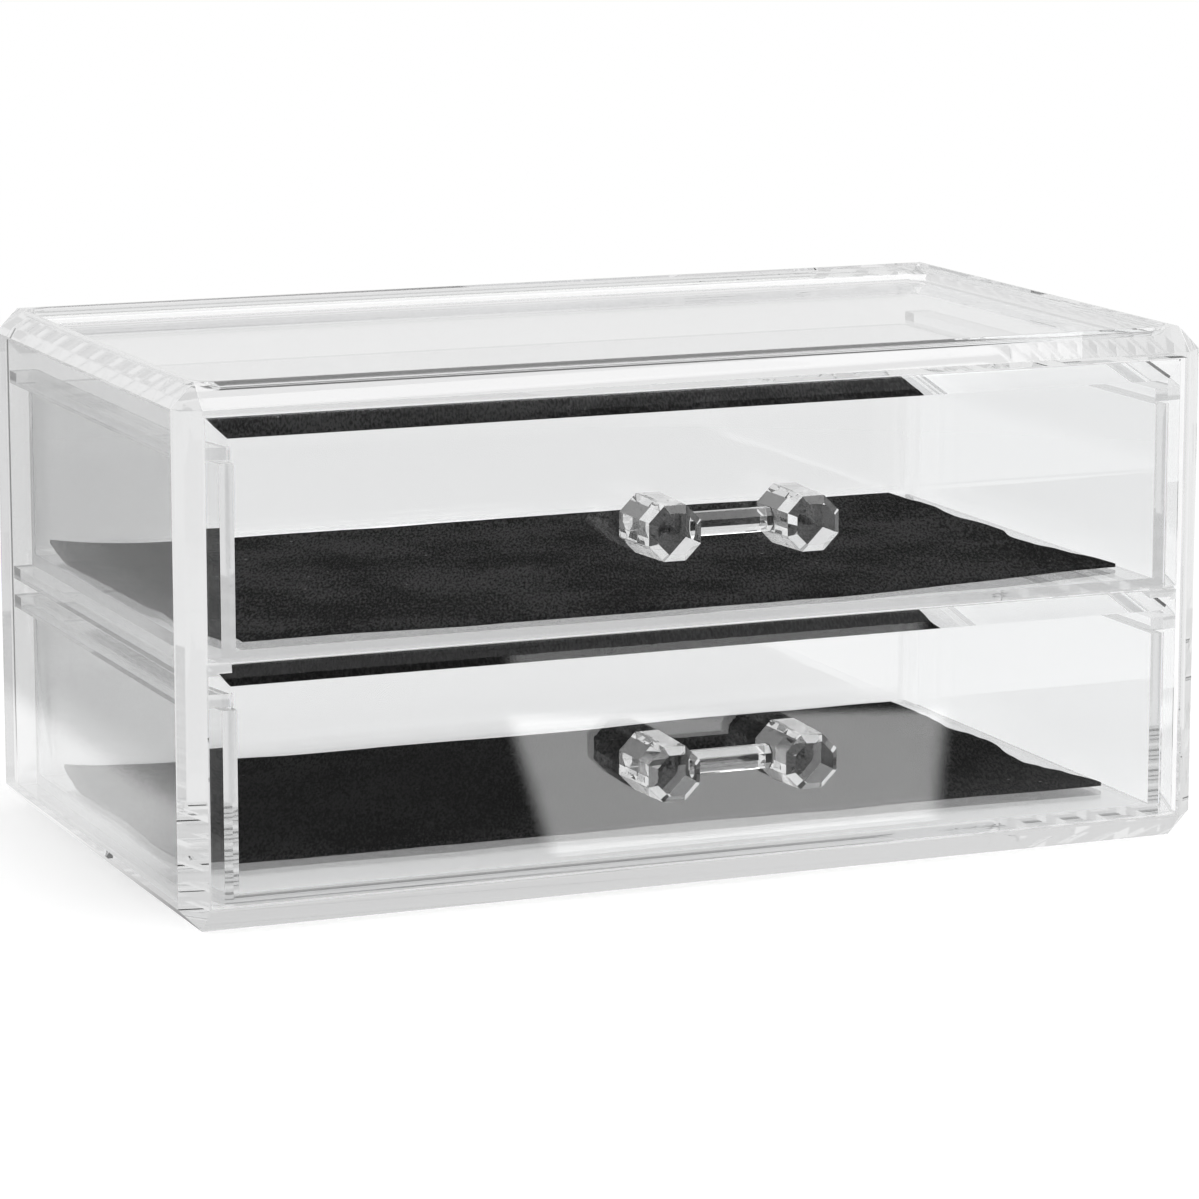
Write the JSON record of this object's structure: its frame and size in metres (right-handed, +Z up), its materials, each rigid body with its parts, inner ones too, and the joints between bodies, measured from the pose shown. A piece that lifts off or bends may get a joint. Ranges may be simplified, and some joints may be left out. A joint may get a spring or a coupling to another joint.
{
  "type": "vanity drawer organizer",
  "caption": "Clear moulded vanity organizer with stacked sliding drawers, chamfered edges, faceted dumbbell handles and black flocked liners, for cosmetics and jewellery.",
  "frame": {"origin": "centre of the case's flat underside", "axes": "+Z up, +X to the right seen from the front, drawers open towards -Y"},
  "size_m": [0.24, 0.1565, 0.116],
  "materials": {
    "clear_case": "clear polished moulding",
    "clear_drawer": "clear polished moulding",
    "clear_handle": "clear polished moulding",
    "black_liner": "matte flocked sheet"
  },
  "bodies": {
    "case": {"case_shell": "clear_case", "upper_runner_left": "clear_case", "upper_runner_right": "clear_case", "upper_hold_down_left": "clear_case", "upper_hold_down_right": "clear_case", "lower_hold_down_left": "clear_case", "lower_hold_down_right": "clear_case"},
    "upper_drawer": {"upper_drawer_tray": "clear_drawer", "upper_drawer_front": "clear_drawer", "upper_handle_post_left": "clear_handle", "upper_handle_post_right": "clear_handle", "upper_handle_bar": "clear_handle", "upper_liner": "black_liner"},
    "lower_drawer": {"lower_drawer_tray": "clear_drawer", "lower_drawer_front": "clear_drawer", "lower_handle_post_left": "clear_handle", "lower_handle_post_right": "clear_handle", "lower_handle_bar": "clear_handle", "lower_liner": "black_liner"}
  },
  "joints": [
    {"name": "upper_drawer_slide", "type": "slide", "parent": "case", "child": "upper_drawer", "axis": [0, -1, 0], "range_m": [0, 0.105]},
    {"name": "lower_drawer_slide", "type": "slide", "parent": "case", "child": "lower_drawer", "axis": [0, -1, 0], "range_m": [0, 0.105]}
  ]
}
